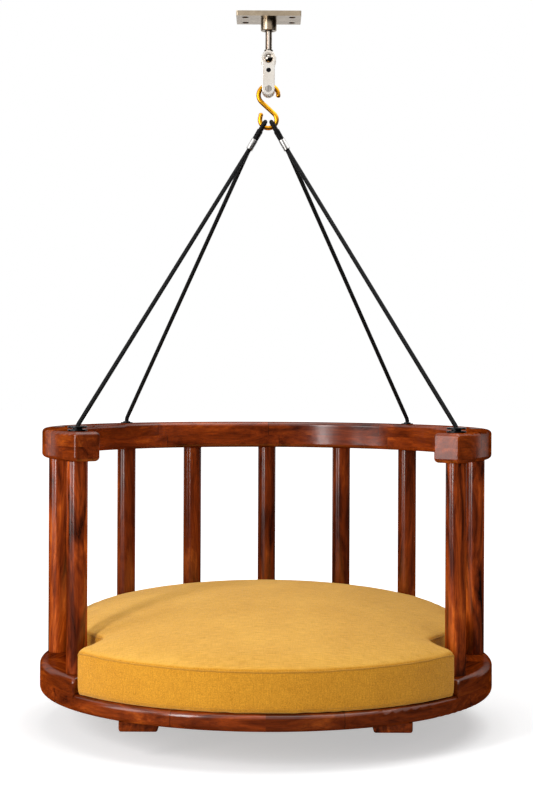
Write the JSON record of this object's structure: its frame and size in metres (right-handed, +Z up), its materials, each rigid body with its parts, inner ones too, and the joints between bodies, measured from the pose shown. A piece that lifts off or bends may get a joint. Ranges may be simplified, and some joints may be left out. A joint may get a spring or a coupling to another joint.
{
  "type": "jhoola swing",
  "caption": "Round indoor swing seat with a curved back of turned posts and a boxed cushion, hung by doubled ropes from a hook, shackle and bearing swivel.",
  "frame": {"origin": "centre of the ceiling plate's top face, which is screwed to the ceiling", "axes": "+Z up out of the ceiling plate, -Y towards the open front of the seat, +X towards the sitter's left"},
  "size_m": [1.05, 1.052, 1.5985],
  "materials": {
    "satin_nickel": "satin nickel-plated steel, slightly warm",
    "bearing_steel": "ground bearing steel",
    "polished_steel": "polished steel",
    "black_steel": "black, semi-gloss",
    "black_plastic": "black, satin",
    "hook_brass": "polished golden brass",
    "black_rope": "tightly braided black rope",
    "stainless_sleeve": "drawn stainless sleeve",
    "zinc_steel": "zinc-plated",
    "lacquered_sheesham": "red-brown figured hardwood under gloss lacquer",
    "seat_board": "stained plywood",
    "mustard_weave": "mustard woven upholstery cloth"
  },
  "bodies": {
    "root": {"ceiling_plate": "satin_nickel", "bearing_collar": "satin_nickel", "thrust_race_lower": "bearing_steel", "thrust_balls": "bearing_steel"},
    "swivel": {"thrust_race_upper": "bearing_steel", "swivel_rod": "satin_nickel", "pivot_barrel": "polished_steel", "bearing_outer_rings": "bearing_steel"},
    "shackle": {"bearing_inner_rings": "bearing_steel", "pivot_washers": "bearing_steel", "cheek_front": "satin_nickel", "cheek_rear": "satin_nickel", "pivot_bolt": "polished_steel", "pivot_nut": "polished_steel", "cheek_spacer": "polished_steel", "spacer_screw": "black_steel", "hook_pin": "polished_steel", "hook_pin_clip": "polished_steel", "hook_pin_bushes": "polished_steel"},
    "hook": {"s_hook": "hook_brass"},
    "seat": {"rope_washers_front": "black_steel", "rope_washers_rear": "black_steel", "screw_caps": "black_plastic", "rope_left": "black_rope", "rope_right": "black_rope", "ferrule_left": "stainless_sleeve", "ferrule_right": "stainless_sleeve", "knot_washers": "zinc_steel", "rail_screws": "zinc_steel", "panel_screws": "zinc_steel", "batten_screws": "zinc_steel", "rail_upper": "lacquered_sheesham", "rail_lower": "lacquered_sheesham", "base_rim": "lacquered_sheesham", "base_ring": "lacquered_sheesham", "batten_left": "lacquered_sheesham", "batten_right": "lacquered_sheesham", "post_front_left": "lacquered_sheesham", "post_front_right": "lacquered_sheesham", "post_side_left": "lacquered_sheesham", "post_side_right": "lacquered_sheesham", "post_back_outer_left": "lacquered_sheesham", "post_back_outer_right": "lacquered_sheesham", "post_back_inner_left": "lacquered_sheesham", "post_back_inner_right": "lacquered_sheesham", "post_back_centre": "lacquered_sheesham", "seat_panel": "seat_board", "cushion": "mustard_weave"}
  },
  "joints": [
    {"name": "swivel_turn", "type": "hinge", "parent": "root", "child": "swivel", "pos_m": [0, 0, -0.03], "axis": [0, 0, 1], "continuous": true},
    {"name": "shackle_tilt", "type": "hinge", "parent": "swivel", "child": "shackle", "pos_m": [0, 0, -0.106], "axis": [0, 1, 0], "range_deg": [-40, 40]},
    {"name": "hook_swing", "type": "hinge", "parent": "shackle", "child": "hook", "pos_m": [0, 0, -0.178], "axis": [0, 1, 0], "range_deg": [-30, 30]},
    {"name": "seat_swing", "type": "hinge", "parent": "hook", "child": "seat", "pos_m": [0, 0, -0.2624], "axis": [1, 0, 0], "range_deg": [-20, 20]}
  ]
}
